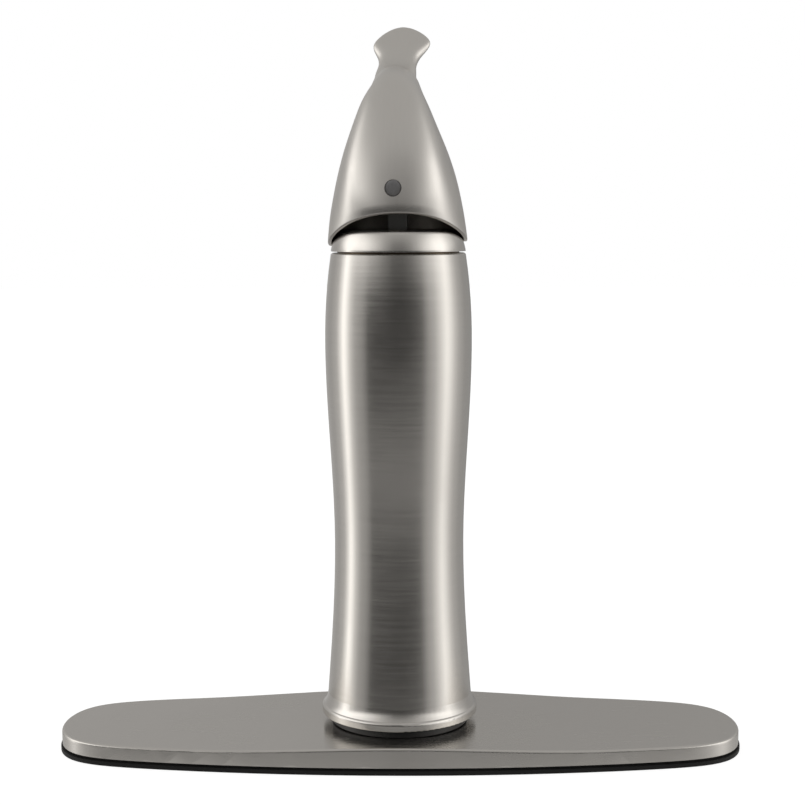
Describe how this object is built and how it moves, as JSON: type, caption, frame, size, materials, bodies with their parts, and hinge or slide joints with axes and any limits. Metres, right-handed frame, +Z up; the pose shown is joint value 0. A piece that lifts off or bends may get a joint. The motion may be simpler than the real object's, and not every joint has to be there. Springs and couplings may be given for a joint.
{
  "type": "pull-out kitchen faucet",
  "caption": "Single-lever kitchen faucet with an hourglass column on a deck plate, a swivelling spout branch and a pull-out spray wand, in brushed nickel.",
  "frame": {"origin": "on the column's axis, where the gasket meets the deck", "axes": "+Z up from the deck, +Y the way the spout points, +X to the right seen from behind the column"},
  "size_m": [0.26, 0.261, 0.3693],
  "materials": {
    "brushed_nickel": "nickel plate on cast zinc, brushed round the column",
    "satin_nickel": "nickel plate on cast zinc, fine satin",
    "brushed_plate": "nickel plate on pressed steel, brushed lengthwise",
    "black_rubber": "moulded matt black",
    "black_acetal": "moulded fine matt black",
    "white_nylon": "moulded natural white",
    "grey_plastic": "moulded plain grey",
    "brass": "turned, plain",
    "steel": "plain stainless",
    "copper": "drawn copper tube",
    "ceramic": "ground ceramic",
    "grey_hose": "woven nylon over a lined hose"
  },
  "bodies": {
    "base": {"deck_plate": "brushed_plate", "deck_gasket": "black_rubber", "base_ring": "black_acetal", "mounting_shank": "brass", "snap_ring": "steel", "rubber_washer": "black_rubber", "clamp_washer": "steel", "mounting_nut": "brass"},
    "spout": {"spout_body": "brushed_nickel", "swivel_bush": "white_nylon", "dock_bush": "black_acetal", "hot_tube": "copper", "hot_nipple": "brass", "cold_tube": "copper", "cold_nipple": "brass", "outlet_tube": "copper", "outlet_nipple": "brass", "pull_hose": "grey_hose", "hose_end_fitting": "brass", "cartridge_base": "white_nylon", "port_seals": "black_rubber", "fixed_disc": "ceramic", "cartridge_housing": "white_nylon", "cartridge_nut": "brass", "trim_cap": "satin_nickel"},
    "turret": {"turret": "white_nylon", "pivot_pin": "steel"},
    "lever": {"lever_stem": "steel", "handle": "satin_nickel", "set_screw": "steel", "screw_plug": "grey_plastic"},
    "disc": {"moving_disc": "ceramic", "disc_carrier": "white_nylon"},
    "wand": {"wand_shell": "brushed_nickel", "wand_tail": "black_acetal", "hose_nut": "brass", "check_valve": "white_nylon", "waterway": "white_nylon", "spray_valve": "white_nylon", "spray_face": "black_acetal", "aerator": "grey_plastic", "face_ring": "satin_nickel", "rocker_pin": "steel"},
    "rocker": {"spray_rocker": "black_acetal"}
  },
  "joints": [
    {"name": "spout_swivel", "type": "hinge", "parent": "base", "child": "spout", "pos_m": [0, 0, 0.015], "axis": [0, 0, 1], "range_deg": [-60, 60]},
    {"name": "temperature_turn", "type": "hinge", "parent": "spout", "child": "turret", "pos_m": [0, 0, 0.1845], "axis": [0, 0, 1], "range_deg": [-43.3, 46.7]},
    {"name": "lever_lift", "type": "hinge", "parent": "turret", "child": "lever", "pos_m": [0, 0, 0.1845], "axis": [0.9996, -0.0297, 0], "range_deg": [0, 25]},
    {"name": "disc_slide", "type": "slide", "parent": "turret", "child": "disc", "axis": [0.0297, 0.9996, 0], "range_m": [0, 0.00381]},
    {"name": "wand_pull", "type": "slide", "parent": "spout", "child": "wand", "axis": [0, 0.9063, 0.4226], "range_m": [0, 0.4], "deforming": ["pull_hose"]},
    {"name": "rocker_tilt", "type": "hinge", "parent": "wand", "child": "rocker", "pos_m": [0, 0.18852, 0.19139], "axis": [1, 0, 0], "range_deg": [-5, 5]}
  ],
  "couplings": [
    {"joint": "disc_slide", "follows": "lever_lift", "m_per_rad": 0.008717}
  ]
}
